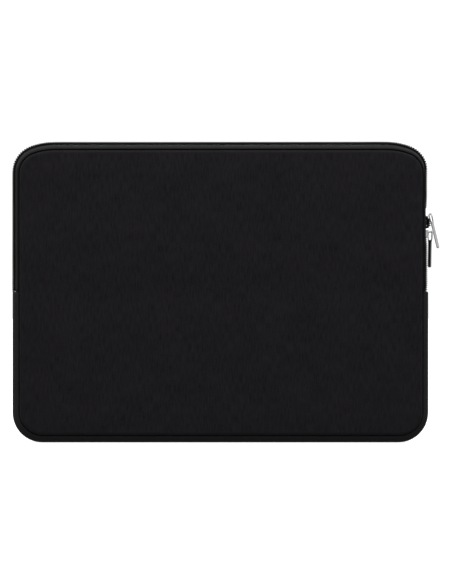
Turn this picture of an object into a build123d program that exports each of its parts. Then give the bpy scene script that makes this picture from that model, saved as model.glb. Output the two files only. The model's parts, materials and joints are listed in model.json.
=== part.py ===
"""Padded laptop sleeve that closes with a two-way coil zipper.

The sleeve stands upright: X is its width, Y its thickness (front towards -Y) and Z its height.
The origin is the centre of the flat strip under the gusset. All sizes are millimetres.
"""

from build123d import *
import math
import os

# ---------------------------------------------------------------- driving dimensions
WIDTH = 350.0  # over the gusset
HEIGHT = 253.0
THICKNESS = 24.0  # over the two covers
FOLD_Z = 127.0  # where the zipper ends and the front panel folds
BAND_RISE = 5.0  # how far the gusset stands out beyond the panel seam
BOTTOM_CORNER_R = 25.0
TOP_CORNER_R = 23.0  # tight part of a top corner, next to the side
TOP_LEAD_R = 59.0  # slow part of a top corner, next to the top edge
TOP_CORNER_TURN = 70.0  # degrees turned by the tight part
FOLD_GAP = 0.3

# panel laminate, from outside to inside
COVER_T = 1.0
PADDING_T = 2.2
LINING_T = 0.8
PANEL_ROUND = 2.4
BINDING_T = 0.8
BINDING_W = 5.0
BINDING_SETBACK = 0.4

# gusset laminate, from outside to inside
GUSSET_COVER_T = 1.0
GUSSET_PADDING_T = 1.8
GUSSET_LINING_T = 0.8
GUSSET_FLAT = 9.0  # flat width between the two rounded shoulders

# zipper chain; "rise" is measured outwards from the panel seam
TAPE_T = 0.6
TAPE_RISE = 0.9
TAPE_EDGE = 1.6  # from the middle plane to the inner edge of each tape
TAPE_SHOULDER = 1.5
COIL_RISE = 3.85
COIL_GAP = 0.05
COIL_INNER = 0.15
COIL_WIDTH = 2.45
COIL_OPEN_SHIFT = 1.3  # how far the slider's post pushes each coil aside
COIL_ROUND = 0.6

# sliders
SLIDER_LENGTH = 7.4
UPPER_SLIDER_Z = 193.7
LOWER_SLIDER_Z = 176.4
SLIDER_NOSE_W = 10.4
SLIDER_TAIL_W = 7.8
SLIDER_WALL = 0.9
PLATE_T = 1.0
PLATE_CLEARANCE = 0.3
FLANGE_RISE = 1.25
POST_W = 2.1
POST_L = 3.4
POST_SIDE_ANGLE = 78.0

# crowns and pulls
CROWN_W = 1.0
CROWN_T = 0.7
CROWN_INNER_H = 3.2
CROWN_INNER_L = 4.6
CROWN_ROUND = 2.1
PIVOT_RISE = 2.05  # eye bar's centre above the slider's top plate
UPPER_PIVOT_DROP = 1.2  # each eye bar sits off the middle of its crown
LOWER_PIVOT_LIFT = 1.0
PULL_LENGTH = 30.0
PULL_W = 3.6
PULL_T = 1.1
EYE_OUTER_W = 5.2
EYE_INNER_W = 3.6
EYE_INNER_L = 6.2
EYE_BAR = 1.0
EYE_ROUND = 1.1
EYE_TAPER = 1.6  # half the length over which the eye narrows to the bar
PULL_ROUND = 1.4
PULL_EDGE_R = 0.3
UPPER_PULL_YAW = -38.5  # the pulls hang turned about their own length, to opposite sides
LOWER_PULL_YAW = 38.0
UPPER_PULL_LEAN = 15.1  # stands off over the lower slider's crown
LOWER_PULL_LEAN = -1.2

# ---------------------------------------------------------------- derived dimensions
SEAM_X = WIDTH / 2 - BAND_RISE
FACE_Y = THICKNESS / 2
LAMINATE_T = COVER_T + PADDING_T + LINING_T
LINING_Y = FACE_Y - LAMINATE_T
SEAM_Y = GUSSET_FLAT / 2 + BAND_RISE
PLATE_RISE = COIL_RISE + PLATE_CLEARANCE
PLATE_TOP_RISE = PLATE_RISE + PLATE_T
BOTTOM_PLATE_TOP_RISE = 0.0  # the bottom plate lies just inside the panel seam
SLIDER_SHOULDER = SLIDER_LENGTH / 3
SLIDER_TAPER = (SLIDER_NOSE_W - SLIDER_TAIL_W) / (SLIDER_LENGTH + 2 * SLIDER_SHOULDER)
PIVOT_X = SEAM_X + PLATE_TOP_RISE + PIVOT_RISE
UPPER_PIVOT_Z = UPPER_SLIDER_Z - UPPER_PIVOT_DROP
LOWER_PIVOT_Z = LOWER_SLIDER_Z + LOWER_PIVOT_LIFT
CLOSED_MARGIN = SLIDER_LENGTH / 4  # the coils meet this far beyond a slider's middle
OPEN_MARGIN = SLIDER_LENGTH / 3  # and are fully parted this far on its other side
PROFILE_X = (0, -1, 0)  # profile planes: sketch x runs to the front, sketch y outwards

os.makedirs("parts", exist_ok=True)


def save(part, name):
    """Label one finished piece and write its STEP file."""
    part.label = name
    export_step(part, f"parts/{name}.step")


# ---------------------------------------------------------------- outlines and paths
def top_corner_height(inset):
    """Height taken by a top corner made of a tight arc and a slow lead-in arc."""
    turn = math.radians(TOP_CORNER_TURN)
    tight = TOP_CORNER_R - inset
    lead = TOP_LEAD_R - inset
    return tight * math.sin(turn) + lead * (1 - math.sin(turn))


def upper_edge(inset, start_z):
    """Right side, top and left side of the outline, from start_z round to start_z again."""
    half = WIDTH / 2 - inset
    corner_z = HEIGHT - inset - top_corner_height(inset)
    tight = TOP_CORNER_R - inset
    lead = TOP_LEAD_R - inset
    lead_turn = 90 - TOP_CORNER_TURN
    right = Line((half, start_z), (half, corner_z))
    right_tight = JernArc(start=right @ 1, tangent=right % 1, radius=tight, arc_size=TOP_CORNER_TURN)
    right_lead = JernArc(right_tight @ 1, right_tight % 1, radius=lead, arc_size=lead_turn)
    top_end = (right_lead @ 1).X
    top = Line(right_lead @ 1, (-top_end, HEIGHT - inset))
    left_lead = JernArc(start=top @ 1, tangent=top % 1, radius=lead, arc_size=lead_turn)
    left_tight = JernArc(left_lead @ 1, left_lead % 1, radius=tight, arc_size=TOP_CORNER_TURN)
    Line(left_tight @ 1, (-half, start_z))


def lower_edge(inset, start_z):
    """Left side, bottom and right side of the outline, from start_z round to start_z again."""
    half = WIDTH / 2 - inset
    radius = BOTTOM_CORNER_R - inset
    left = Line((-half, start_z), (-half, BOTTOM_CORNER_R))
    left_corner = JernArc(start=left @ 1, tangent=left % 1, radius=radius, arc_size=90)
    bottom = Line(left_corner @ 1, (half - radius, inset))
    right_corner = JernArc(start=bottom @ 1, tangent=bottom % 1, radius=radius, arc_size=90)
    Line(right_corner @ 1, (half, start_z))


def panel_block(inset, inner_y, outer_y, edge_round):
    """Solid front panel layer between two depths, with its outer edge rounded over."""
    with BuildPart() as block:
        with BuildSketch(Plane.XZ.offset(inner_y)):
            with BuildLine():
                upper_edge(inset, FOLD_Z)
                lower_edge(inset, FOLD_Z)
            make_face()
        extrude(amount=outer_y - inner_y)
        if edge_round:
            fillet(block.edges().group_by(Axis.Y)[0], radius=edge_round)
    return block.part


def band(edge, start, profile):
    """Sweep a profile sketch along one of the two edge paths."""
    with BuildPart() as swept:
        with BuildLine(Plane.XZ) as path:
            edge(BAND_RISE, start)
        add(profile(Plane(origin=path.line @ 0, x_dir=PROFILE_X, z_dir=path.line % 0)))
        sweep(path=path.line)
    return swept.part


# ---------------------------------------------------------------- panel layers
def hollow_tray():
    """Cover cloth of one panel: a face with a turned-down edge."""
    with BuildPart() as tray:
        add(panel_block(BAND_RISE, LINING_Y, FACE_Y, PANEL_ROUND))
        add(
            panel_block(BAND_RISE + COVER_T, LINING_Y, FACE_Y - COVER_T, PANEL_ROUND - COVER_T),
            mode=Mode.SUBTRACT,
        )
    return tray.part


def binding_ring():
    """Binding tape over the panel's seam, on the inside."""
    outer_inset = BAND_RISE + BINDING_SETBACK
    with BuildPart() as ring:
        add(panel_block(outer_inset, LINING_Y - BINDING_T, LINING_Y, 0))
        add(
            panel_block(outer_inset + BINDING_W, LINING_Y - BINDING_T, LINING_Y, 0),
            mode=Mode.SUBTRACT,
        )
    return ring.part


PADDING_INNER_Y = LINING_Y + LINING_T
layers = {
    "cover": hollow_tray(),
    "padding": panel_block(
        BAND_RISE + COVER_T, PADDING_INNER_Y, FACE_Y - COVER_T, PANEL_ROUND - COVER_T
    ),
    "lining": panel_block(BAND_RISE + COVER_T, LINING_Y, PADDING_INNER_Y, 0),
    "binding": binding_ring(),
}

for layer_name, layer in layers.items():
    with BuildPart() as back_layer:
        mirror(layer, about=Plane.XZ)
    save(back_layer.part, f"back_{layer_name}")

    with BuildPart() as upper_layer:
        add(layer)
        split(bisect_by=Plane.XY.offset(FOLD_Z), keep=Keep.TOP)
    save(upper_layer.part, f"front_{layer_name}_upper")

    with BuildPart() as lower_layer:
        add(layer)
        split(bisect_by=Plane.XY.offset(FOLD_Z - FOLD_GAP), keep=Keep.BOTTOM)
    save(lower_layer.part, f"front_{layer_name}_lower")


# ---------------------------------------------------------------- gusset layers
def gusset_profile(outer_r, inner_r):
    """Profile maker for one gusset layer: a flat strip between two quarter-round shoulders."""

    def profile(plane):
        with BuildSketch(plane) as section:
            SlotCenterToCenter(GUSSET_FLAT, 2 * outer_r)
            SlotCenterToCenter(GUSSET_FLAT, 2 * inner_r, mode=Mode.SUBTRACT)
            # only the half outside the panel seam is cloth
            with Locations((0, -outer_r)):
                Rectangle(2 * THICKNESS, 2 * outer_r, mode=Mode.SUBTRACT)
        return section.sketch

    return profile


gusset_top = FOLD_Z - FOLD_GAP
gusset_outer_r = BAND_RISE
for layer_name, thickness in (
    ("cover", GUSSET_COVER_T),
    ("padding", GUSSET_PADDING_T),
    ("lining", GUSSET_LINING_T),
):
    gusset_inner_r = gusset_outer_r - thickness
    gusset_layer = band(lower_edge, gusset_top, gusset_profile(gusset_outer_r, gusset_inner_r))
    save(gusset_layer, f"gusset_{layer_name}")
    gusset_outer_r = gusset_inner_r


# ---------------------------------------------------------------- zipper tapes
def tape_profile(plane):
    """Front tape: rises from the panel seam and runs flat to its edge beside the coil."""
    with BuildSketch(plane) as section:
        with BuildLine():
            top = Line((TAPE_EDGE, TAPE_RISE), (SEAM_Y - TAPE_SHOULDER, TAPE_RISE))
            fall = Line(top @ 1, (SEAM_Y, 0))
            seam = Line(fall @ 1, (SEAM_Y - TAPE_T, 0))
            rise = Line(seam @ 1, (SEAM_Y - TAPE_SHOULDER - TAPE_T / 2, TAPE_RISE - TAPE_T))
            under = Line(rise @ 1, (TAPE_EDGE, TAPE_RISE - TAPE_T))
            Line(under @ 1, top @ 0)
        make_face()
    return section.sketch


front_tape = band(upper_edge, FOLD_Z, tape_profile)
save(front_tape, "front_zipper_tape")

with BuildPart() as back_tape:
    mirror(front_tape, about=Plane.XZ)
save(back_tape.part, "back_zipper_tape")

# ---------------------------------------------------------------- zipper coils
COIL_BOTTOM_RISE = TAPE_RISE + COIL_GAP
COIL_H = COIL_RISE - COIL_BOTTOM_RISE
COIL_MIDDLE = COIL_INNER + COIL_WIDTH / 2


def coil_profile(plane, shift=0.0):
    """Front coil as one rounded bead standing on the tape."""
    with BuildSketch(plane) as section:
        with Locations((COIL_MIDDLE + shift, COIL_BOTTOM_RISE + COIL_H / 2)):
            RectangleRounded(COIL_WIDTH, COIL_H, COIL_ROUND)
    return section.sketch


def coil_plane(z):
    """Profile plane across the right-hand chain at one height."""
    return Plane(origin=(SEAM_X, 0, z), x_dir=PROFILE_X, z_dir=(0, 0, 1))


# the coils part inside each slider and stay apart between the two sliders
closed_low = LOWER_SLIDER_Z - CLOSED_MARGIN
open_low = LOWER_SLIDER_Z + OPEN_MARGIN
open_high = UPPER_SLIDER_Z - OPEN_MARGIN
closed_high = UPPER_SLIDER_Z + CLOSED_MARGIN

with BuildPart() as front_coil:
    add(band(upper_edge, FOLD_Z, coil_profile))
    with BuildSketch(Plane.XY.offset(closed_low)):
        with Locations((SEAM_X + COIL_RISE / 2, -COIL_MIDDLE)):
            Rectangle(COIL_RISE, 2 * COIL_WIDTH)
    extrude(amount=closed_high - closed_low, mode=Mode.SUBTRACT)
    for closed_z, open_z in ((closed_low, open_low), (closed_high, open_high)):
        add(coil_profile(coil_plane(closed_z)))
        add(coil_profile(coil_plane(open_z), COIL_OPEN_SHIFT))
        loft()
    add(coil_profile(coil_plane(open_low), COIL_OPEN_SHIFT))
    extrude(amount=open_high - open_low)
save(front_coil.part, "front_zipper_coil")

with BuildPart() as back_coil:
    mirror(front_coil.part, about=Plane.XZ)
save(back_coil.part, "back_zipper_coil")


# ---------------------------------------------------------------- sliders
def slider_outline(margin, overrun):
    """Plan of a slider, nose at +y: tapers from a parallel nose to a narrower tail."""
    end = SLIDER_LENGTH / 2 + overrun
    nose = SLIDER_NOSE_W / 2 - margin
    tail = nose - SLIDER_TAPER * (SLIDER_SHOULDER + end)
    right = Polyline((0, -end), (tail, -end), (nose, SLIDER_SHOULDER), (nose, end), (0, end))
    mirror(right, about=Plane.YZ)


def slider_body(centre_z, nose_up):
    """Zipper slider: two plates joined by a post, with flanges beside the coil channel."""
    nose = 1 if nose_up else -1

    def plan(rise):
        return Plane(origin=(SEAM_X + rise, 0, centre_z), x_dir=(0, nose, 0), z_dir=(1, 0, 0))

    post_root = SLIDER_LENGTH / 2
    with BuildPart() as body:
        with BuildSketch(plan(BOTTOM_PLATE_TOP_RISE - PLATE_T)):
            with BuildLine():
                slider_outline(0, 0)
            make_face()
        extrude(amount=PLATE_T)
        with BuildSketch(plan(FLANGE_RISE)):
            with BuildLine():
                slider_outline(0, 0)
            make_face()
        extrude(amount=PLATE_TOP_RISE - FLANGE_RISE)
        fillet(body.edges().filter_by(Axis.X), radius=SLIDER_WALL)
        fillet(body.faces().sort_by(Axis.X)[-1].edges(), radius=SLIDER_WALL / 2)
        with BuildSketch(plan(FLANGE_RISE)):
            with BuildLine():
                slider_outline(SLIDER_WALL, SLIDER_WALL)
            make_face()
        extrude(amount=PLATE_RISE - FLANGE_RISE, mode=Mode.SUBTRACT)
        with BuildSketch(plan(BOTTOM_PLATE_TOP_RISE)):
            with Locations((0, post_root - POST_L / 2)):
                Trapezoid(POST_W, POST_L, POST_SIDE_ANGLE, rotation=180)
        extrude(amount=PLATE_RISE - BOTTOM_PLATE_TOP_RISE)
    return body.part


def slider_crown(centre_z):
    """Arched strip over the eye bar of the pull, standing on the slider's top plate."""
    plate_x = SEAM_X + PLATE_TOP_RISE
    outer_h = CROWN_INNER_H + CROWN_T
    outer_l = CROWN_INNER_L + 2 * CROWN_T
    with BuildPart() as crown:
        with BuildSketch(Plane.XZ):
            with Locations((plate_x, centre_z)):
                RectangleRounded(2 * outer_h, outer_l, CROWN_ROUND)
                RectangleRounded(
                    2 * CROWN_INNER_H, CROWN_INNER_L, CROWN_ROUND - CROWN_T, mode=Mode.SUBTRACT
                )
            # the arch is cut off at the slider's top plate
            with Locations((plate_x - outer_h, centre_z)):
                Rectangle(2 * outer_h, 2 * outer_l, mode=Mode.SUBTRACT)
        extrude(amount=CROWN_W / 2, both=True)
    return crown.part


for slider_name, slider_z, nose_up in (
    ("upper_slider", UPPER_SLIDER_Z, False),
    ("lower_slider", LOWER_SLIDER_Z, True),
):
    save(slider_body(slider_z, nose_up), f"{slider_name}_body")
    save(slider_crown(slider_z), f"{slider_name}_crown")


# ---------------------------------------------------------------- pulls
def pull(pivot_z, yaw_degrees, lean):
    """Slim pull hanging from its eye bar, turned by a yaw and leaning outwards about that bar."""
    yaw = math.radians(yaw_degrees)
    axis = Vector(-math.sin(yaw), math.cos(yaw), 0)
    outward = Vector(axis.Y, -axis.X, 0)
    tilt = math.radians(lean)
    along = outward * math.sin(tilt) + Vector(0, 0, -math.cos(tilt))
    plane = Plane(origin=(PIVOT_X, 0, pivot_z), x_dir=axis, z_dir=axis.cross(along))
    eye_top = -EYE_BAR / 2
    eye_end = EYE_BAR / 2 + EYE_INNER_L
    with BuildPart() as body:
        with BuildSketch(plane) as face:
            with BuildLine():
                left = Polyline(
                    (0, eye_top),
                    (EYE_OUTER_W / 2, eye_top),
                    (EYE_OUTER_W / 2, eye_end - EYE_TAPER),
                    (PULL_W / 2, eye_end + EYE_TAPER),
                    (PULL_W / 2, PULL_LENGTH),
                    (0, PULL_LENGTH),
                )
                mirror(left, about=Plane.YZ)
            make_face()
            fillet(face.vertices(), radius=PULL_ROUND)
            with Locations((0, EYE_BAR / 2 + EYE_INNER_L / 2)):
                RectangleRounded(EYE_INNER_W, EYE_INNER_L, EYE_ROUND, mode=Mode.SUBTRACT)
        extrude(amount=PULL_T / 2, both=True)
        broad_faces = body.faces().filter_by(Axis((0, 0, 0), plane.z_dir))
        fillet(broad_faces.edges(), radius=PULL_EDGE_R)
    return body.part


save(pull(UPPER_PIVOT_Z, UPPER_PULL_YAW, UPPER_PULL_LEAN), "upper_pull")
save(pull(LOWER_PIVOT_Z, LOWER_PULL_YAW, LOWER_PULL_LEAN), "lower_pull")
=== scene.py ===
"""Looks of a padded laptop sleeve with a two-way coil zipper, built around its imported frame.

Metres throughout: X is the width, Y the thickness (front towards -Y) and Z the height. Cloth
pieces follow one seam path round the sleeve; "rise" is how far a point stands out from that seam.
"""

import json
import math

import bmesh
import bpy
import numpy as np
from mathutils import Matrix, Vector, noise
from mathutils.geometry import delaunay_2d_cdt


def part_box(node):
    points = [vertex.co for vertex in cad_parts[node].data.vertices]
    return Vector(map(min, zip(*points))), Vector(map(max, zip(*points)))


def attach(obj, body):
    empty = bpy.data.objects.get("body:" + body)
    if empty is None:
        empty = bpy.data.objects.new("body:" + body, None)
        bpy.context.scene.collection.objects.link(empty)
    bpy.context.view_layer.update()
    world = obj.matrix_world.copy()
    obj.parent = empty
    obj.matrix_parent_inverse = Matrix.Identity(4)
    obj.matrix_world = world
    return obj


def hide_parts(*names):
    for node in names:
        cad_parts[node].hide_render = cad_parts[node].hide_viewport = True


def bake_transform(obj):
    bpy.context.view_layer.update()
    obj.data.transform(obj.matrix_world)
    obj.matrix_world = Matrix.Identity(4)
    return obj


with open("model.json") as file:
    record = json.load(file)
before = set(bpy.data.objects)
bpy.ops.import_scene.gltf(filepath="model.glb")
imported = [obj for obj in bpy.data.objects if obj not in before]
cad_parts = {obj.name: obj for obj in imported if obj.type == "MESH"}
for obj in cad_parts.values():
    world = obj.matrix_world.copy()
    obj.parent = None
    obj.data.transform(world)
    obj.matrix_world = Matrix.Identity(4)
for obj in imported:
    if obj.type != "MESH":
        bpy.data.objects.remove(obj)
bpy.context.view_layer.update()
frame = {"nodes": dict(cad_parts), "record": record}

MM = 0.001

# ---------------------------------------------------------------- sizes read from the frame
cover_low, cover_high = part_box("back_cover")
gusset_low, gusset_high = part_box("gusset_cover")
lining_low, lining_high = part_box("back_lining")
_, coil_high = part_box("back_zipper_coil")
joints = {joint["name"]: joint for joint in frame["record"]["behaviour"]["joints"]}

SEAM_X = cover_high.x
SEAM_BOTTOM = cover_low.z
SEAM_TOP = cover_high.z
FACE_Y = cover_high.y
LINING_Y = lining_low.y
FOLD_Z = joints["front_flap_fold"]["pos_m"][2]
SEAM_Y = gusset_high.y
BAND_RISE = gusset_high.x - SEAM_X
MIDDLE_Z = (gusset_low.z + SEAM_TOP + BAND_RISE) / 2
COIL_RISE = coil_high.x - SEAM_X

# ---------------------------------------------------------------- sizes of the soft shapes
BOTTOM_R = 20 * MM  # corner radii of the seam
TOP_TIGHT_R = 18 * MM
TOP_LEAD_R = 54 * MM
TOP_TIGHT_TURN = math.radians(70)
PATH_STEP = 2.5 * MM

SEAM_SHIFT_LEFT = 1.3 * MM  # how far the visible panel seam is drawn in from the frame's seam
SEAM_SHIFT_TOP = 2.0 * MM
SEAM_SHIFT_BOTTOM = 1.1 * MM


# ---------------------------------------------------------------- the seam path
class Path:
    """Points along a flat path with outward normals and distances, all numpy arrays."""

    def __init__(self, x, z, nx, nz):
        self.x = np.array(x)
        self.z = np.array(z)
        self.nx = np.array(nx)
        self.nz = np.array(nz)
        steps = np.hypot(np.diff(self.x), np.diff(self.z))
        self.s = np.concatenate([[0.0], np.cumsum(steps)])

    def at(self, distance):
        """The path resampled at the given distances."""
        columns = [np.interp(distance, self.s, c) for c in (self.x, self.z, self.nx, self.nz)]
        path = Path(*columns)
        path.s = np.array(distance)
        return path


def arc(centre, radius, start, turn, step):
    """Points, as (x, z, nx, nz), along an arc that turns anticlockwise seen from the front."""
    count = max(3, math.ceil(radius * turn / step))
    angles = start + np.linspace(0, turn, count + 1)
    return [
        (centre[0] + radius * math.cos(a), centre[1] + radius * math.sin(a), math.cos(a), math.sin(a))
        for a in angles
    ]


def line(start, end, normal, step):
    """Points, as (x, z, nx, nz), along a straight run."""
    count = max(1, math.ceil(math.dist(start, end) / step))
    return [
        (
            start[0] + (end[0] - start[0]) * i / count,
            start[1] + (end[1] - start[1]) * i / count,
            *normal,
        )
        for i in range(count + 1)
    ]


def joined(runs):
    """One path from runs that start where the run before them ends."""
    points = list(runs[0])
    for run in runs[1:]:
        points += run[1:]
    return Path(*zip(*points))


def seam_runs(step):
    """The seam's runs from the right-hand fold point, anticlockwise, and how many are above it."""
    tight_centre_z = SEAM_TOP - (
        TOP_TIGHT_R * math.sin(TOP_TIGHT_TURN) + TOP_LEAD_R * (1 - math.sin(TOP_TIGHT_TURN))
    )
    tight = (SEAM_X - TOP_TIGHT_R, tight_centre_z)
    lead_back = TOP_LEAD_R - TOP_TIGHT_R
    lead = (
        tight[0] - lead_back * math.cos(TOP_TIGHT_TURN),
        tight[1] - lead_back * math.sin(TOP_TIGHT_TURN),
    )
    quarter = math.pi / 2
    corner = (SEAM_X - BOTTOM_R, SEAM_BOTTOM + BOTTOM_R)
    upper = [
        line((SEAM_X, FOLD_Z), (SEAM_X, tight[1]), (1, 0), step),
        arc(tight, TOP_TIGHT_R, 0, TOP_TIGHT_TURN, step),
        arc(lead, TOP_LEAD_R, TOP_TIGHT_TURN, quarter - TOP_TIGHT_TURN, step),
        line((lead[0], SEAM_TOP), (-lead[0], SEAM_TOP), (0, 1), step),
        arc((-lead[0], lead[1]), TOP_LEAD_R, quarter, quarter - TOP_TIGHT_TURN, step),
        arc((-tight[0], tight[1]), TOP_TIGHT_R, math.pi - TOP_TIGHT_TURN, TOP_TIGHT_TURN, step),
        line((-SEAM_X, tight[1]), (-SEAM_X, FOLD_Z), (-1, 0), step),
    ]
    lower = [
        line((-SEAM_X, FOLD_Z), (-SEAM_X, corner[1]), (-1, 0), step),
        arc((-corner[0], corner[1]), BOTTOM_R, math.pi, quarter, step),
        line((-corner[0], SEAM_BOTTOM), (corner[0], SEAM_BOTTOM), (0, -1), step),
        arc(corner, BOTTOM_R, 3 * quarter, quarter, step),
        line((SEAM_X, corner[1]), (SEAM_X, FOLD_Z), (1, 0), step),
    ]
    return upper, lower


def upper_path(step=PATH_STEP, tail=0.0):
    """The zipper's path, from the right-hand fold point up, over and down to the left-hand one."""
    upper, _ = seam_runs(step)
    if tail:
        below = FOLD_Z - tail
        upper.insert(0, line((SEAM_X, below), (SEAM_X, FOLD_Z), (1, 0), step))
        upper.append(line((-SEAM_X, FOLD_Z), (-SEAM_X, below), (-1, 0), step))
    return joined(upper)


def lower_path(step=PATH_STEP):
    """The gusset's path, from the left-hand fold point down, under and up to the right-hand one."""
    _, lower = seam_runs(step)
    return joined(lower)


def closed_path(step=PATH_STEP):
    """The whole seam once round; its last point is its first again."""
    upper, lower = seam_runs(step)
    return joined(upper + lower)


def drawn_in(x, z):
    """How far the visible panel seam lies from the frame's seam at a point on it, as (dx, dz)."""
    from_right = (SEAM_X - x) / (2 * SEAM_X)
    from_bottom = (z - SEAM_BOTTOM) / (SEAM_TOP - SEAM_BOTTOM)
    dx = SEAM_SHIFT_LEFT * from_right
    dz = SEAM_SHIFT_BOTTOM * (1 - from_bottom) - SEAM_SHIFT_TOP * from_bottom
    return dx, dz


def smooth(edge_0, edge_1, x):
    """0 below edge_0, 1 above edge_1 and an S-curve between."""
    t = np.clip((x - edge_0) / (edge_1 - edge_0), 0, 1)
    return t * t * (3 - 2 * t)


def place(path, across, rise):
    """Points in space: along the path, at these distances from the middle plane and these rises.

    across and rise are profile arrays, or arrays of one profile for each path point. Towards the
    panels the band follows the visible seam."""
    across = np.broadcast_to(across, (len(path.x), np.shape(across)[-1]))
    rise = np.broadcast_to(rise, across.shape)
    dx, dz = drawn_in(path.x, path.z)
    follow = smooth(3 * MM, SEAM_Y, np.abs(across))
    x = path.x[:, None] + path.nx[:, None] * rise + dx[:, None] * follow
    z = path.z[:, None] + path.nz[:, None] * rise + dz[:, None] * follow
    return np.stack([x, across, z], axis=-1)


# ---------------------------------------------------------------- mesh helpers
def new_piece(name, points, faces, uvs=None, material=None):
    """A mesh object from points and faces, with optional UVs (one per point, in metres)."""
    mesh = bpy.data.meshes.new(name)
    mesh.from_pydata([tuple(p) for p in points], [], faces)
    if uvs is not None:
        layer = mesh.uv_layers.new(name="cloth")
        corner_points = np.empty(len(mesh.loops), dtype=np.int32)
        mesh.loops.foreach_get("vertex_index", corner_points)
        layer.data.foreach_set("uv", np.asarray(uvs, dtype=np.float32)[corner_points].ravel())
    mesh.polygons.foreach_set("use_smooth", [True] * len(mesh.polygons))
    mesh.update()
    piece = bpy.data.objects.new(name, mesh)
    bpy.context.scene.collection.objects.link(piece)
    if material is not None:
        mesh.materials.append(material)
    return piece


def face_outwards(piece):
    """Turns all the faces of a closed piece outwards."""
    work = bmesh.new()
    work.from_mesh(piece.data)
    bmesh.ops.recalc_face_normals(work, faces=work.faces)
    work.to_mesh(piece.data)
    work.free()


def grid_faces(rows, columns, closed_rows=False, closed_columns=False, first=0):
    """Quads over a grid of points numbered row by row."""
    faces = []
    for i in range(rows if closed_rows else rows - 1):
        for j in range(columns if closed_columns else columns - 1):
            a = first + i * columns + j
            b = first + i * columns + (j + 1) % columns
            c = first + ((i + 1) % rows) * columns + (j + 1) % columns
            d = first + ((i + 1) % rows) * columns + j
            faces.append((a, b, c, d))
    return faces


def profile_distances(across, rise):
    """Distance along a profile, for UVs."""
    steps = np.hypot(np.diff(across), np.diff(rise))
    return np.concatenate([[0.0], np.cumsum(steps)])


def band_piece(name, path, across, rise, material):
    """A solid band with one closed profile, swept along an open path and capped at its ends."""
    across = np.asarray(across, dtype=float)
    rise = np.asarray(rise, dtype=float)
    points = place(path, across, rise)
    rows, columns = points.shape[:2]
    faces = grid_faces(rows, columns, closed_columns=True)
    faces.append(tuple(range(columns)))
    faces.append(tuple(range((rows - 1) * columns, rows * columns)))
    profile = across if across.ndim == 1 else across[0]
    height = rise if rise.ndim == 1 else rise[0]
    v = profile_distances(profile, height)
    uvs = np.stack(np.broadcast_arrays(path.s[:, None], v[None, :]), axis=-1).reshape(-1, 2)
    piece = new_piece(name, points.reshape(-1, 3), faces, uvs, material)
    face_outwards(piece)
    return piece


# ---------------------------------------------------------------- node materials
def new_material(name):
    """A new material with its nodes, its links and its Principled shader."""
    material = bpy.data.materials.new(name)
    material.use_nodes = True
    nodes = material.node_tree.nodes
    shader = nodes["Principled BSDF"]
    return material, nodes, material.node_tree.links, shader


def place_coordinates(nodes, by_uv):
    """Socket with the surface's own coordinates, in metres."""
    source = nodes.new("ShaderNodeTexCoord")
    return source.outputs["UV" if by_uv else "Object"]


def scaled(nodes, links, vector, scale):
    """The coordinates times a scale."""
    mapping = nodes.new("ShaderNodeMapping")
    mapping.inputs["Scale"].default_value = scale
    links.new(vector, mapping.inputs["Vector"])
    return mapping.outputs["Vector"]


def noise_value(nodes, links, vector, scale, detail=3.0, rough=0.55):
    """A noise texture's value socket."""
    texture = nodes.new("ShaderNodeTexNoise")
    texture.inputs["Scale"].default_value = scale
    texture.inputs["Detail"].default_value = detail
    texture.inputs["Roughness"].default_value = rough
    links.new(vector, texture.inputs["Vector"])
    return texture.outputs["Fac"]


def wave_value(nodes, links, vector, scale, direction, distortion=0.0):
    """A sine band texture's value socket."""
    texture = nodes.new("ShaderNodeTexWave")
    texture.wave_type = "BANDS"
    texture.bands_direction = direction
    texture.wave_profile = "SIN"
    texture.inputs["Scale"].default_value = scale
    texture.inputs["Distortion"].default_value = distortion
    texture.inputs["Detail"].default_value = 1.0
    links.new(vector, texture.inputs["Vector"])
    return texture.outputs["Fac"]


def combine(nodes, links, operation, a, b):
    """A math node over two sockets or numbers."""
    node = nodes.new("ShaderNodeMath")
    node.operation = operation
    for socket, value in zip(node.inputs, (a, b)):
        if isinstance(value, (int, float)):
            socket.default_value = value
        else:
            links.new(value, socket)
    return node.outputs["Value"]


def ramp(nodes, links, value, dark, light, low=0.0, high=1.0):
    """A colour between dark and light, as value goes from low to high."""
    node = nodes.new("ShaderNodeMapRange")
    node.inputs["From Min"].default_value = low
    node.inputs["From Max"].default_value = high
    links.new(value, node.inputs["Value"])
    mix = nodes.new("ShaderNodeMix")
    mix.data_type = "RGBA"
    mix.inputs["A"].default_value = (*dark, 1)
    mix.inputs["B"].default_value = (*light, 1)
    links.new(node.outputs["Result"], mix.inputs["Factor"])
    return mix.outputs["Result"]


def value_range(nodes, links, value, low, high):
    """The value stretched from 0..1 to low..high."""
    node = nodes.new("ShaderNodeMapRange")
    node.inputs["To Min"].default_value = low
    node.inputs["To Max"].default_value = high
    links.new(value, node.inputs["Value"])
    return node.outputs["Result"]


def add_bump(nodes, links, shader, height, distance, strength=1.0):
    """Bump from a height socket; distance in metres."""
    bump = nodes.new("ShaderNodeBump")
    bump.inputs["Strength"].default_value = strength
    bump.inputs["Distance"].default_value = distance
    links.new(height, bump.inputs["Height"])
    links.new(bump.outputs["Normal"], shader.inputs["Normal"])


WAVE_BANDS = 3.183  # bands per unit in a Wave texture of scale 1, about 10 / pi
CLOTH_SPECULAR = 0.05  # the fibres scatter light, with almost no mirror part
TAPE_SPECULAR = 0.04
COIL_SPECULAR = 0.12


def wave_scale(spacing):
    """Scale of a Wave texture whose bands are this far apart."""
    return 1 / (spacing * WAVE_BANDS)


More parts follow.
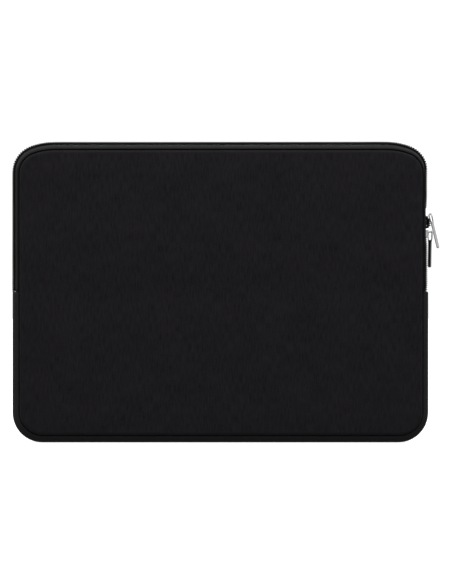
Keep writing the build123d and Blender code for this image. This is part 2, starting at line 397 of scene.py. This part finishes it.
def knit_cloth(name, dark, light, pitch, sheen, rough, relief):
    """Fine knitted cloth: columns of small V-shaped stitches, faint streaks and soft sheen."""
    material, nodes, links, shader = new_material(name)
    where = place_coordinates(nodes, True)
    column = wave_value(nodes, links, where, wave_scale(pitch), "X", 0.3)
    row = wave_value(nodes, links, where, wave_scale(pitch), "Y", 0.6)
    stitches = combine(nodes, links, "MULTIPLY", column, row)
    fuzz = noise_value(nodes, links, where, 2600, 3, 0.6)
    height = combine(nodes, links, "ADD", stitches, combine(nodes, links, "MULTIPLY", fuzz, 0.5))
    cloud = noise_value(nodes, links, where, 34, 4, 0.6)
    speckle = noise_value(nodes, links, where, 1300, 2, 0.5)
    streaks = noise_value(nodes, links, scaled(nodes, links, where, (1.0, 0.14, 1.0)), 850, 2, 0.5)
    threads = combine(nodes, links, "MULTIPLY", combine(nodes, links, "ADD", speckle, streaks), 0.5)
    tone = combine(nodes, links, "ADD", combine(nodes, links, "MULTIPLY", cloud, 0.22), threads)
    colour = ramp(nodes, links, tone, dark, light, 0.41, 0.81)
    links.new(colour, shader.inputs["Base Color"])
    links.new(value_range(nodes, links, cloud, rough - 0.06, rough + 0.06), shader.inputs["Roughness"])
    shader.inputs["Specular IOR Level"].default_value = CLOTH_SPECULAR
    shader.inputs["Sheen Weight"].default_value = sheen
    shader.inputs["Sheen Roughness"].default_value = 0.45
    add_bump(nodes, links, shader, height, relief)
    return material


def woven_tape(name, dark, light, rib, by_uv=True, sheen=0.005, relief=0.00012):
    """Narrow woven tape: ribs across its length, crossed by finer warp threads."""
    material, nodes, links, shader = new_material(name)
    where = place_coordinates(nodes, by_uv)
    ribs = wave_value(nodes, links, where, wave_scale(rib), "X", 0.2)
    warp = wave_value(nodes, links, where, wave_scale(0.6 * rib), "Y", 0.2)
    weave = combine(nodes, links, "MULTIPLY", ribs, warp)
    cloud = noise_value(nodes, links, where, 60, 4, 0.6)
    speckle = noise_value(nodes, links, where, 1800, 2, 0.5)
    tone = combine(nodes, links, "ADD", combine(nodes, links, "MULTIPLY", weave, 0.4), speckle)
    colour = ramp(nodes, links, tone, dark, light, 0.3, 1.0)
    links.new(colour, shader.inputs["Base Color"])
    links.new(value_range(nodes, links, cloud, 0.55, 0.75), shader.inputs["Roughness"])
    shader.inputs["Specular IOR Level"].default_value = TAPE_SPECULAR
    shader.inputs["Sheen Weight"].default_value = sheen
    shader.inputs["Sheen Roughness"].default_value = 0.4
    add_bump(nodes, links, shader, weave, relief)
    return material


def coil_plastic(name, dark, light):
    """Drawn polyester monofilament: dark, slightly glossy, with fine drawing lines."""
    material, nodes, links, shader = new_material(name)
    where = place_coordinates(nodes, False)
    scratches = noise_value(nodes, links, where, 1500, 2, 0.6)
    tone = noise_value(nodes, links, where, 120, 3, 0.6)
    links.new(ramp(nodes, links, tone, dark, light, 0.3, 0.7), shader.inputs["Base Color"])
    links.new(value_range(nodes, links, scratches, 0.4, 0.58), shader.inputs["Roughness"])
    shader.inputs["Specular IOR Level"].default_value = COIL_SPECULAR
    add_bump(nodes, links, shader, scratches, 0.00002)
    return material


def cast_metal(name, dark, light, rough_low, rough_high, brushed=False):
    """Plated zinc: bright, with faint polishing lines, small dents and duller worn patches."""
    material, nodes, links, shader = new_material(name)
    where = place_coordinates(nodes, False)
    if brushed:
        where = scaled(nodes, links, where, (1.0, 1.0, 0.12))
    lines = noise_value(nodes, links, where, 2200, 3, 0.6)
    patches = noise_value(nodes, links, where, 260, 4, 0.6)
    links.new(ramp(nodes, links, patches, dark, light, 0.35, 0.65), shader.inputs["Base Color"])
    links.new(value_range(nodes, links, patches, rough_low, rough_high), shader.inputs["Roughness"])
    shader.inputs["Metallic"].default_value = 1.0
    height = combine(nodes, links, "ADD", lines, combine(nodes, links, "MULTIPLY", patches, 2.0))
    add_bump(nodes, links, shader, height, 0.00001)
    return material


COVER_BLACK = knit_cloth(
    "cover_knit", (0.0014, 0.0012, 0.0016), (0.0088, 0.008, 0.0094),
    pitch=0.45 * MM, sheen=0.035, rough=0.85, relief=0.06 * MM
)
GUSSET_BLACK = knit_cloth(
    "gusset_knit", (0.0055, 0.0055, 0.0058), (0.009, 0.0088, 0.0094),
    pitch=0.45 * MM, sheen=0.03, rough=0.8, relief=0.06 * MM
)
LINING_GREY = knit_cloth(
    "lining_plush", (0.012, 0.012, 0.013), (0.022, 0.022, 0.024),
    pitch=0.8 * MM, sheen=0.25, rough=0.95, relief=0.2 * MM
)
TAPE_BLACK = woven_tape("zipper_tape_weave", (0.003, 0.003, 0.0032), (0.0085, 0.0085, 0.0088), 0.8 * MM)
BINDING_BLACK = woven_tape("binding_weave", (0.012, 0.012, 0.013), (0.025, 0.025, 0.027), 0.9 * MM)
COIL_BLACK = coil_plastic("coil_filament", (0.006, 0.006, 0.0065), (0.014, 0.014, 0.015))
CORE_BLACK = woven_tape(
    "coil_core_thread", (0.002, 0.002, 0.0022), (0.006, 0.006, 0.0063), rib=0.3 * MM, by_uv=False
)
THREAD_BLACK = woven_tape("sewing_thread", (0.012, 0.012, 0.013), (0.03, 0.03, 0.032), 0.2 * MM)
SLIDER_METAL = cast_metal("slider_plating", (0.78, 0.78, 0.79), (0.9, 0.9, 0.91), 0.12, 0.24)
PULL_METAL = cast_metal("pull_plating", (0.2, 0.2, 0.205), (0.3, 0.3, 0.305), 0.24, 0.38, brushed=True)


def bend_at_fold(piece):
    """Bakes a front piece's placement into its mesh."""
    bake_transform(piece)


# ---------------------------------------------------------------- padded panels
GROOVE_INSET = 0.7 * MM  # the panel's wall stands this far in from the seam line
GROOVE_FLOOR = 0.3 * MM  # above the lining
PANEL_ROUND = 2.6 * MM
LIP_DEPTH = 1.5 * MM  # how far the rounded rim falls below the face
PANEL_RINGS = GROOVE_INSET + np.array([0.0, 0.06, 0.3, 0.8, 1.6, 2.6, 3.8, 5.4, 7.2, 9.4, 11.6, 14.0]) * MM
CROWN_DEPTH = 0.8 * MM  # how far the padding swells past the frame's face
CROWN_REACH = 9.0 * MM
FOLD_REACH = 14.0 * MM  # the panel is flatter this close to the fold, so that it can bend
FILL_STEP = 5.0 * MM
FOLD_STEP = 1.6 * MM
FOLD_ZONE = 10.0 * MM
FILL_GAP = 1.8 * MM  # the inner points keep this far from the ring round them
SEAM_ALLOWANCE = 0.2 * MM
CLOTH_FRAMES = 20


def face_depth(inset):
    """Distance of the panel's face from the middle plane, before it is puffed up."""
    inwards = np.clip((np.asarray(inset) - GROOVE_INSET) / PANEL_ROUND, 0, 1)
    return FACE_Y - CROWN_DEPTH / 2 - LIP_DEPTH * (1 - np.sqrt(1 - (1 - inwards) ** 2))


def inset_ring(path, inset):
    """The visible seam moved inwards by an inset, as (x, z) rows without the closing point."""
    dx, dz = drawn_in(path.x, path.z)
    x = path.x - path.nx * inset + dx
    z = path.z - path.nz * inset + dz
    return np.stack([x, z], axis=1)[:-1]


def inside_distance(points, ring):
    """Distance from points inside a ring to it, and -1 for points outside."""
    start = ring[None, :, :]
    end = np.roll(ring, -1, axis=0)[None, :, :]
    p = points[:, None, :]
    run = end - start
    t = np.clip(((p - start) * run).sum(-1) / (run**2).sum(-1), 0, 1)
    gap = np.sqrt((((start + run * t[..., None]) - p) ** 2).sum(-1)).min(1)
    crosses = (start[..., 1] > p[..., 1]) != (end[..., 1] > p[..., 1])
    rise = np.where(run[..., 1] == 0, 1e-12, run[..., 1])
    at_x = start[..., 0] + run[..., 0] * (p[..., 1] - start[..., 1]) / rise
    inside = (crosses & (p[..., 0] < at_x)).sum(1) % 2 == 1
    return np.where(inside, gap, -1)


def fill_ring(ring):
    """Points inside a ring and triangles over them and the ring's own points, which come first."""
    low = ring.min(0)
    high = ring.max(0)
    columns = np.arange(low[0] + FILL_STEP / 2, high[0], FILL_STEP)
    coarse = np.arange(low[1] + FILL_STEP / 2, high[1], FILL_STEP)
    coarse = coarse[np.abs(coarse - FOLD_Z) > FOLD_ZONE]
    fine = np.arange(FOLD_Z - FOLD_ZONE, FOLD_Z + FOLD_ZONE, FOLD_STEP)
    rows = np.sort(np.concatenate([coarse, fine]))
    grid = np.stack(np.meshgrid(columns, rows), axis=-1).reshape(-1, 2)
    grid = grid[inside_distance(grid, ring) > FILL_GAP]
    everything = np.concatenate([ring, grid])
    loop = list(range(len(ring)))
    found = delaunay_2d_cdt([Vector(p) for p in everything], [], [loop], 1, 1e-7)
    order = [source[0] for source in found[3]]
    triangles = [tuple(order[i] for i in face) for face in found[2]]
    return grid, triangles


def panel_shape():
    """Points (x, depth, z), faces and insets of one closed padded panel; depth grows outwards."""
    path = closed_path()
    rings = [inset_ring(path, inset) for inset in PANEL_RINGS]
    count = len(rings[0])
    fill, triangles = fill_ring(rings[-1])
    points = []
    insets = []
    for ring, inset in zip(rings, PANEL_RINGS):
        depth = float(face_depth(inset))
        points += [(x, depth, z) for x, z in ring]
        insets += [inset - GROOVE_INSET] * count
    top_depth = float(face_depth(PANEL_RINGS[-1]))
    first_fill = len(points)
    points += [(x, top_depth, z) for x, z in fill]
    insets += list(PANEL_RINGS[-1] - GROOVE_INSET + inside_distance(fill, rings[-1]))
    faces = grid_faces(len(rings), count, closed_columns=True)
    edge_first = (len(rings) - 1) * count

    def renumber(i):
        return edge_first + i if i < count else first_fill + i - count

    faces += [tuple(renumber(i) for i in reversed(t)) for t in triangles]
    # the wall goes down into the seam, the seam allowance runs out under the band, and one flat
    # sheet closes the back behind the padding
    back_depth = LINING_Y + 0.9 * MM
    floor = LINING_Y + GROOVE_FLOOR
    rim = [
        (GROOVE_INSET, floor + 0.05 * MM),
        (-SEAM_ALLOWANCE, floor),
        (-SEAM_ALLOWANCE, LINING_Y + 0.1 * MM),
        (0.7 * MM, LINING_Y + 0.1 * MM),
        (0.85 * MM, back_depth),
        (1.6 * MM, back_depth),
    ]
    previous = 0
    for inset, depth in rim:
        here = len(points)
        ring = inset_ring(path, inset)
        points += [(x, depth, z) for x, z in ring]
        insets += [-1.0] * count
        faces += [
            (previous + i, here + i, here + (i + 1) % count, previous + (i + 1) % count)
            for i in range(count)
        ]
        previous = here
    back_fill, back_triangles = fill_ring(ring)
    back_first = len(points)
    points += [(x, back_depth, z) for x, z in back_fill]
    insets += [-1.0] * len(back_fill)
    faces += [
        tuple(previous + i if i < count else back_first + i - count for i in t) for t in back_triangles
    ]
    return np.array(points), faces, np.array(insets)


def puffed(points, faces, insets):
    """How far each point of a panel swells outwards under its padding, by cloth simulation."""
    analytic = CROWN_DEPTH * (1 - np.exp(-np.clip(insets, 0, None) / CROWN_REACH))
    fold_room = 1 - 0.8 * np.exp(-(((points[:, 2] - FOLD_Z) / FOLD_REACH) ** 2))
    pad = new_piece("panel_pad_simulation", points, faces)
    face_outwards(pad)
    free = pad.vertex_groups.new(name="held")
    for i, inset in enumerate(insets):
        hold = 1.0 if inset < 0.4 * MM else max(0.0, 0.25 - inset / (40 * MM))
        free.add([i], hold, "REPLACE")
    cloth = pad.modifiers.new("Cloth", "CLOTH")
    cloth.settings.vertex_group_mass = "held"
    cloth.settings.quality = 6
    cloth.settings.mass = 0.3
    cloth.settings.tension_stiffness = 12
    cloth.settings.compression_stiffness = 12
    cloth.settings.bending_stiffness = 4
    cloth.settings.use_pressure = True
    cloth.settings.uniform_pressure_force = 4
    cloth.settings.effector_weights.gravity = 0
    cloth.collision_settings.use_collision = False
    for step in range(1, CLOTH_FRAMES + 1):
        bpy.context.scene.frame_set(step)
    shaped = pad.evaluated_get(bpy.context.evaluated_depsgraph_get())
    moved = np.empty(len(points) * 3)
    shaped.data.vertices.foreach_get("co", moved)
    swell = moved.reshape(-1, 3)[:, 1] - points[:, 1]
    bpy.context.scene.frame_set(1)
    bpy.data.objects.remove(pad, do_unlink=True)
    capped = CROWN_DEPTH * np.tanh(np.clip(swell, 0, None) / CROWN_DEPTH)
    return np.where(insets > 0, 0.5 * capped + 0.5 * analytic, 0) * fold_room


def build_panels():
    """The front panel, with its placement baked in, and the back panel, attached to the sleeve."""
    points, faces, insets = panel_shape()
    depth = points[:, 1] + puffed(points, faces, insets)
    uvs = points[:, [0, 2]]
    panels = []
    for name, side in (("front_panel", -1), ("back_panel", 1)):
        shape = np.stack([points[:, 0], side * depth, points[:, 2]], axis=1)
        panel = new_piece(name, shape, faces, uvs, COVER_BLACK)
        face_outwards(panel)
        panels.append(panel)
    front, back = panels
    bend_at_fold(front)
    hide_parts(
        "front_cover_lower", "front_cover_upper", "front_padding_lower", "front_padding_upper"
    )
    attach(back, "sleeve")
    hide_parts("back_cover", "back_padding")


build_panels()


# ---------------------------------------------------------------- linings and bindings
LINING_T = lining_high.y - lining_low.y
BINDING_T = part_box("back_binding")[1].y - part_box("back_binding")[0].y
BINDING_W = 5.0 * MM
BINDING_SETBACK = 0.4 * MM
LINING_INSET = 1.0 * MM
STITCH_PITCH = 3.2 * MM
STITCH_LENGTH = 2.3 * MM
STITCH_R = 0.22 * MM


def build_lining(name, side):
    """Thin plush lining behind one panel, slightly rippled; side is -1 for the front."""
    ring = inset_ring(closed_path(), LINING_INSET)
    fill, triangles = fill_ring(ring)
    flat = np.concatenate([ring, fill])
    count = len(ring)
    total = len(flat)
    ripple = np.array([noise.noise(Vector((x * 45, side, z * 45))) for x, z in flat])
    inner = LINING_Y - 0.15 * MM * np.abs(ripple)
    points = [(x, side * (LINING_Y + LINING_T), z) for x, z in flat]
    points += [(x, side * d, z) for (x, z), d in zip(flat, inner)]
    faces = list(triangles) + [tuple(total + i for i in reversed(t)) for t in triangles]
    faces += [(i, (i + 1) % count, total + (i + 1) % count, total + i) for i in range(count)]
    uvs = np.concatenate([flat, flat])
    lining = new_piece(name, points, faces, uvs, LINING_GREY)
    face_outwards(lining)
    return lining


def build_binding(name, side):
    """Soft tape folded over the raw seam inside, a closed ring with rounded edges."""
    path = closed_path()
    insets = np.array([0.0, 0.12, 0.5, 0.88, 1.0, 0.88, 0.5, 0.12]) * BINDING_W + BINDING_SETBACK
    heights = np.array([0.5, 0.12, 0.0, 0.12, 0.5, 0.9, 1.0, 0.9]) * BINDING_T
    rings = [inset_ring(path, inset) for inset in insets]
    points = []
    uvs = []
    for row in range(len(rings[0])):
        for column, height in enumerate(heights):
            x, z = rings[column][row]
            points.append((x, side * (LINING_Y - BINDING_T + height), z))
            uvs.append((path.s[row], insets[column] + height))
    faces = grid_faces(len(rings[0]), len(heights), closed_rows=True, closed_columns=True)
    binding = new_piece(name, points, faces, uvs, BINDING_BLACK)
    face_outwards(binding)
    return binding


def build_stitches(name, side):
    """Row of running stitches along the middle of a binding."""
    path = closed_path()
    inset = BINDING_SETBACK + BINDING_W / 2
    starts = np.arange(0, path.s[-1] - STITCH_PITCH, STITCH_PITCH)
    places = path.at(starts)
    depth = LINING_Y - BINDING_T
    points = []
    faces = []
    sides = 6
    rings = ((-0.5, 0.35, 0.5), (-0.3, 1.0, 0.0), (0.3, 1.0, 0.0), (0.5, 0.35, 0.5))
    for x, z, nx, nz in zip(places.x, places.z, places.nx, places.nz):
        dx, dz = drawn_in(x, z)
        first = len(points)
        for along, size, sink in rings:
            for k in range(sides):
                angle = 2 * math.pi * k / sides
                out = STITCH_R * size * math.cos(angle)
                up = STITCH_R * (size * math.sin(angle) - sink)
                px = x + dx - nx * (inset + out) - nz * along * STITCH_LENGTH
                pz = z + dz - nz * (inset + out) + nx * along * STITCH_LENGTH
                points.append((px, side * (depth - up), pz))
        faces += grid_faces(len(rings), sides, closed_columns=True, first=first)
        faces.append(tuple(range(first, first + sides)))
        faces.append(tuple(range(first + 3 * sides, first + 4 * sides)))
    stitches = new_piece(name, points, faces, None, THREAD_BLACK)
    face_outwards(stitches)
    return stitches


def build_inside():
    """Linings, bindings and stitches of both panels."""
    for side_name, side in (("front", -1), ("back", 1)):
        lining = build_lining(f"{side_name}_lining_cloth", side)
        binding = build_binding(f"{side_name}_binding_tape", side)
        stitches = build_stitches(f"{side_name}_binding_stitches", side)
        for piece in (lining, binding, stitches):
            if side < 0:
                bend_at_fold(piece)
            else:
                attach(piece, "sleeve")
        if side < 0:
            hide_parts("front_lining_lower", "front_lining_upper")
            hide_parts("front_binding_lower", "front_binding_upper")
        else:
            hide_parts("back_lining")
            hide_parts("back_binding")


build_inside()

# ---------------------------------------------------------------- gusset
GUSSET_FLAT = SEAM_Y - BAND_RISE
GUSSET_PAD_T = 2.75 * MM
GUSSET_LINING_T = 0.75 * MM
HEM_LENGTH = 1.6 * MM
HEM_DROP = 0.7 * MM
SEAM_RISE = 0.25 * MM  # the band's edge stands this far out from the seam line


def arch(radius, count=9):
    """Half of a gusset layer's outline, from its edge at the seam up to the flat run."""
    angles = np.linspace(0, math.pi / 2, count)
    return GUSSET_FLAT + radius * np.cos(angles), np.maximum(radius * np.sin(angles), SEAM_RISE)


def shell_profile(outer_r, inner_r):
    """Closed profile of one gusset layer: (across, rise)."""
    outer_u, outer_v = arch(outer_r)
    inner_u, inner_v = arch(inner_r)
    across = np.concatenate([outer_u, [0], -outer_u[::-1], -inner_u, [0], inner_u[::-1]])
    rise = np.concatenate([outer_v, [outer_r], outer_v[::-1], inner_v, [inner_r], inner_v[::-1]])
    return across, rise


def hemmed_path():
    """The gusset's path with close points at both ends, where the cloth is turned in."""
    path = lower_path()
    near = HEM_LENGTH * np.array([0.0, 0.1, 0.25, 0.5, 0.75, 1.0])
    middle = np.arange(HEM_LENGTH + PATH_STEP, path.s[-1] - HEM_LENGTH - PATH_STEP / 2, PATH_STEP)
    return path.at(np.concatenate([near, middle, path.s[-1] - near[::-1]]))


def build_gusset():
    """Padded gusset along the bottom and the lower sides, and its lining."""
    path = hemmed_path()
    across, rise = shell_profile(BAND_RISE, BAND_RISE - GUSSET_PAD_T)
    from_end = np.minimum(path.s, path.s[-1] - path.s)
    turned = 1 - np.clip(from_end / HEM_LENGTH, 0, 1)
    drop = HEM_DROP * (1 - np.sqrt(1 - turned**2))
    outer = rise > np.abs(rise).max() * 0.02
    share = np.where(outer, rise / BAND_RISE, 0)
    rows = rise[None, :] - drop[:, None] * share[None, :] ** 2
    gusset = band_piece("gusset", path, across, rows, GUSSET_BLACK)
    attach(gusset, "sleeve")
    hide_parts("gusset_cover", "gusset_padding")

    outer_r = BAND_RISE - GUSSET_PAD_T - 0.05 * MM
    across, rise = shell_profile(outer_r, outer_r - GUSSET_LINING_T)
    lining = band_piece("gusset_lining_cloth", lower_path(), across, rise, LINING_GREY)
    length = float(lower_path().s[-1])
    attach(lining, "sleeve")
    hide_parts("gusset_lining")


build_gusset()

# ---------------------------------------------------------------- zipper
CHAIN_LIFT = 1.7 * MM
CHAIN_LIFT_SLIDER = 0.25 * MM
OPEN_LIFT = 3.0 * MM  # the empty coils between the sliders stand out from the chain
OPEN_SHIFT = 1.4 * MM
COIL_PROUD = 0.4 * MM
COIL_PROUD_RUN = 1.0 * MM
TAPE_T = 0.6 * MM
TAPE_RISE = 0.95 * MM
TAPE_EDGE = 1.6 * MM
TOOTH_PITCH = 1.69 * MM
FILAMENT_R = 0.4 * MM
LOOP_SAMPLES = 14
CORD_R = 0.95 * MM
CORD_GAP = 0.4 * MM  # between the tape and the cord
ZIPPER_TAIL = 3.0 * MM
TUCK_DEPTH = 1.6 * MM
TUCK_NARROWING = 0.35  # share of its width that the tape loses where it is turned in
TAPE_HEM = 0.35 * MM  # the tape's underside stops this far short of its upper side
LOOP_CENTRE = 0.9 * MM  # from the middle plane
LOOP_HALF_WIDTH = 1.35 * MM
CORD_CENTRE = 0.95 * MM
RIDGE_RISE = 1.4 * MM  # the tape is pushed up beside the sliders

upper_slider_low, upper_slider_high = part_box("upper_slider_body")
lower_slider_low, lower_slider_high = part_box("lower_slider_body")


def past_sliders(path):
    """0 on the stretch that the sliders run over, on the right, growing to 1 beyond it."""
    reach = upper_slider_high.z + joints["upper_slider_run"]["range_m"][1]
    return np.where(path.x > 0, smooth(reach, reach + 14 * MM, path.z), 1)


def chain_lift(path):
    """Extra rise of the chain: full round the top and left, low where the sliders run."""
    near_fold = np.where(path.x > 0, smooth(FOLD_Z, FOLD_Z + 8 * MM, path.z), 1)
    return near_fold * (CHAIN_LIFT_SLIDER + (CHAIN_LIFT - CHAIN_LIFT_SLIDER) * past_sliders(path))


def coil_proud(path):
    """How far the loops stand above the frame's coil: more on the sliders' run, clear of them."""
    run = (1 - past_sliders(path)) * (1 - beside_sliders(path))
    return COIL_PROUD + (COIL_PROUD_RUN - COIL_PROUD) * run


def between_sliders(path):
    """1 between the two sliders, on the right, and 0 elsewhere."""
    low = smooth(lower_slider_high.z - 0.5 * MM, lower_slider_high.z + 2.5 * MM, path.z)
    high = smooth(upper_slider_low.z - 2.5 * MM, upper_slider_low.z + 0.5 * MM, path.z)
    return low * (1 - high) * (path.x > 0)


def beside_sliders(path):
    """1 along both sliders and between them, on the right, and 0 elsewhere."""
    low = smooth(lower_slider_low.z - 8 * MM, lower_slider_low.z, path.z)
    high = smooth(upper_slider_high.z, upper_slider_high.z + 10 * MM, path.z)
    return low * (1 - high) * (path.x > 0)


def tucked(path):
    """0 on the visible zipper, growing to 1 at the ends that are turned in under the gusset."""
    return 1 - smooth(FOLD_Z - ZIPPER_TAIL, FOLD_Z + 1.0 * MM, path.z)


def build_tape(name, side):
    """Woven tape from the panel's seam to the coil; side is -1 for the front."""
    path = upper_path(tail=ZIPPER_TAIL)
    across = np.array([8.6, 9.3, 9.5, 9.45, 9.1, 8.2, 6.4, 3.8, TAPE_EDGE / MM]) * MM
    steps = np.array([0.27, 0.3, 0.45, 0.75, 0.92, 0.98, 1.0, 1.0, 1.0])
    lifted = np.array([0.0, 0.0, 0.1, 0.3, 0.55, 0.8, 0.93, 1.0, 1.0])
    ridge = np.array([0.0, 0.0, 0.2, 0.55, 0.95, 1.0, 0.3, 0.0, 0.0]) * RIDGE_RISE
    bulge = np.array([0.0, 0.0, 0.0, 0.0, 0.0, 0.1, 0.4, 0.85, 1.0]) * OPEN_LIFT
    top = steps * TAPE_RISE + chain_lift(path)[:, None] * lifted
    top = top + beside_sliders(path)[:, None] * ridge + between_sliders(path)[:, None] * bulge
    top = top - tucked(path)[:, None] * TUCK_DEPTH
    under = across[3:] - TAPE_HEM
    rise = np.concatenate([top, top[:, :2:-1] - TAPE_T], axis=1)
    narrow = 1 - TUCK_NARROWING * tucked(path)[:, None]
    both = side * np.concatenate([across, under[::-1]])[None, :] * narrow
    tape = band_piece(name, path, both, rise, TAPE_BLACK)
    return tape


def tube(line_points, along, radius, sides):
    """Points and faces of a capped tube round a line; along is a steady side direction."""
    tangent = np.gradient(line_points, axis=0)
    tangent /= np.linalg.norm(tangent, axis=1)[:, None]
    first = along - (along * tangent).sum(1)[:, None] * tangent
    first /= np.linalg.norm(first, axis=1)[:, None]
    second = np.cross(tangent, first)
    angles = np.linspace(0, 2 * math.pi, sides, endpoint=False)
    ring = radius * (
        np.cos(angles)[None, :, None] * first[:, None, :]
        + np.sin(angles)[None, :, None] * second[:, None, :]
    )
    points = (line_points[:, None, :] + ring).reshape(-1, 3)
    rows = len(line_points)
    faces = grid_faces(rows, sides, closed_columns=True)
    faces.append(tuple(range(sides)))
    faces.append(tuple(range((rows - 1) * sides, rows * sides)))
    return points, faces


def chain_place(path, side, across, rise):
    """Points of the chain at these distances from the middle plane, parted between the sliders."""
    middle_low = (lower_slider_low.z + lower_slider_high.z) / 2
    middle_high = (upper_slider_low.z + upper_slider_high.z) / 2
    on_right = path.x > 0
    parted = smooth(middle_low - 1.8 * MM, middle_low + 2.4 * MM, path.z)
    parted = parted * (1 - smooth(middle_high - 2.4 * MM, middle_high + 1.8 * MM, path.z)) * on_right
    lift = chain_lift(path) + OPEN_LIFT * between_sliders(path) - tucked(path) * TUCK_DEPTH
    shifted = side * (across + OPEN_SHIFT * parted)
    return place(path, shifted[:, None], (rise + lift)[:, None])[:, 0, :]


def build_coil(name, side, hand):
    """One row of the coil: a continuous filament wound in flat loops, and the cord inside it.

    The two rows are of opposite hand, so their loops stand side by side and their heads mesh."""
    base = upper_path(tail=ZIPPER_TAIL)
    loops = int(base.s[-1] / TOOTH_PITCH) - 1
    turns = np.linspace(0, loops, loops * LOOP_SAMPLES + 1)
    angle = 2 * math.pi * turns
    path = base.at((turns + 0.5) * TOOTH_PITCH)
    wide = hand * np.cos(angle)
    tall = np.sin(angle)
    low = TAPE_RISE + FILAMENT_R
    high = COIL_RISE + coil_proud(path) - FILAMENT_R
    across = LOOP_CENTRE + LOOP_HALF_WIDTH * wide
    rise = (low + high) / 2 + (high - low) / 2 * tall
    centre = chain_place(path, side, across, rise)
    along = np.stack([-path.nz, np.zeros_like(path.nx), path.nx], axis=1)
    points, faces = tube(centre, along, FILAMENT_R, 6)
    coil = new_piece(name, points, faces, None, COIL_BLACK)
    face_outwards(coil)

    cord_path = base.at(np.arange(PATH_STEP, base.s[-1] - PATH_STEP, PATH_STEP / 2))
    ones = np.ones_like(cord_path.x)
    cord_rise = TAPE_RISE + CORD_GAP + CORD_R + (coil_proud(cord_path) - COIL_PROUD) / 2
    line_points = chain_place(cord_path, side, CORD_CENTRE * ones, cord_rise)
    up = np.stack([cord_path.nx, np.zeros_like(cord_path.nx), cord_path.nz], axis=1)
    points, faces = tube(line_points, up, CORD_R, 8)
    cord = new_piece(name + "_core", points, faces, None, CORE_BLACK)
    face_outwards(cord)
    return coil, cord


def build_zipper():
    """Both tapes and both rows of coil; the front ones have their placement baked in, the back ones are
    attached to the sleeve.
    """
    for side_name, side, hand in (("front", -1, 1), ("back", 1, -1)):
        tape = build_tape(f"{side_name}_tape", side)
        coil, cord = build_coil(f"{side_name}_coil", side, hand)
        for piece in (tape, coil, cord):
            if side < 0:
                bend_at_fold(piece)
            else:
                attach(piece, "sleeve")
        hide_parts(f"{side_name}_zipper_tape")
        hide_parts(f"{side_name}_zipper_coil")


build_zipper()


# ---------------------------------------------------------------- sliders and pulls
def finish_metal():
    """Plating on the sliders and pulls, which are the frame's own nodes."""
    for node_name, node in frame["nodes"].items():
        if "slider" in node_name:
            material = SLIDER_METAL
        elif node_name in ("upper_pull", "lower_pull"):
            material = PULL_METAL
        else:
            continue
        node.data.materials.clear()
        node.data.materials.append(material)


finish_metal()

# ---------------------------------------------------------------- studio
OBJECT_WIDTH_PART = 0.916814  # share of the view's width that the sleeve takes up
CAMERA_DISTANCE = 1.3
CAMERA_SIDE = 4.8 * MM  # the camera stands this far to the right of the sleeve's middle
CAMERA_RISE = 0.2 * MM
SENSOR_WIDTH = 36  # millimetres
SKY_LOW = 0.4
SKY_HORIZON = 1.08
FLOOR_SIZE = 12
FLOOR_GREY = 0.3
FLOOR_GLOW = 0.8
OVERHEAD_EXTRA = 1.6  # the sky grows this much brighter from the horizon to straight above


def build_studio():
    """Pale floor and backdrop, soft light from above, and the camera straight in front."""
    scene = bpy.context.scene
    scene.view_settings.view_transform = "Standard"
    world = bpy.data.worlds.new("studio")
    scene.world = world
    world.use_nodes = True
    nodes = world.node_tree.nodes
    links = world.node_tree.links
    background = nodes["Background"]
    where = nodes.new("ShaderNodeTexCoord")
    split = nodes.new("ShaderNodeSeparateXYZ")
    links.new(where.outputs["Generated"], split.inputs["Vector"])
    level = nodes.new("ShaderNodeMapRange")
    level.inputs["From Min"].default_value = -0.25
    level.inputs["From Max"].default_value = 0.0
    level.inputs["To Min"].default_value = SKY_LOW
    level.inputs["To Max"].default_value = SKY_HORIZON
    links.new(split.outputs["Z"], level.inputs["Value"])
    overhead = nodes.new("ShaderNodeMapRange")
    overhead.inputs["To Max"].default_value = OVERHEAD_EXTRA
    links.new(split.outputs["Z"], overhead.inputs["Value"])
    total = combine(nodes, links, "ADD", level.outputs["Result"], overhead.outputs["Result"])
    links.new(total, background.inputs["Strength"])
    background.inputs["Color"].default_value = (1, 1, 1, 1)

    bpy.ops.mesh.primitive_plane_add(size=FLOOR_SIZE, location=(0, 0, 0))
    floor = bpy.context.object
    floor.name = "floor"
    material, nodes, links, shader = new_material("floor_white")
    shader.inputs["Base Color"].default_value = (FLOOR_GREY, FLOOR_GREY, FLOOR_GREY, 1)
    shader.inputs["Roughness"].default_value = 1.0
    shader.inputs["Emission Color"].default_value = (1, 1, 1, 1)
    shader.inputs["Emission Strength"].default_value = FLOOR_GLOW
    floor.data.materials.append(material)
    floor.visible_diffuse = False
    floor.visible_glossy = False

    light = bpy.data.lights.new("softbox", "AREA")
    light.shape = "RECTANGLE"
    light.size = 1.2
    light.size_y = 0.6
    light.energy = 9
    lamp = bpy.data.objects.new("softbox", light)
    lamp.location = (0, -0.5, 0.95)
    lamp.rotation_euler = (math.radians(32), 0, 0)
    scene.collection.objects.link(lamp)

    camera_data = bpy.data.cameras.new("camera")
    camera = bpy.data.objects.new("camera", camera_data)
    camera_data.sensor_fit = "HORIZONTAL"
    camera_data.sensor_width = SENSOR_WIDTH
    view_width = (gusset_high.x - gusset_low.x) / OBJECT_WIDTH_PART
    camera_data.lens = camera_data.sensor_width * CAMERA_DISTANCE / view_width
    camera.location = (CAMERA_SIDE, -CAMERA_DISTANCE, MIDDLE_Z + CAMERA_RISE)
    camera.rotation_euler = (math.radians(90), 0, 0)
    camera_data.clip_start = 0.05
    scene.collection.objects.link(camera)
    scene.camera = camera


build_studio()
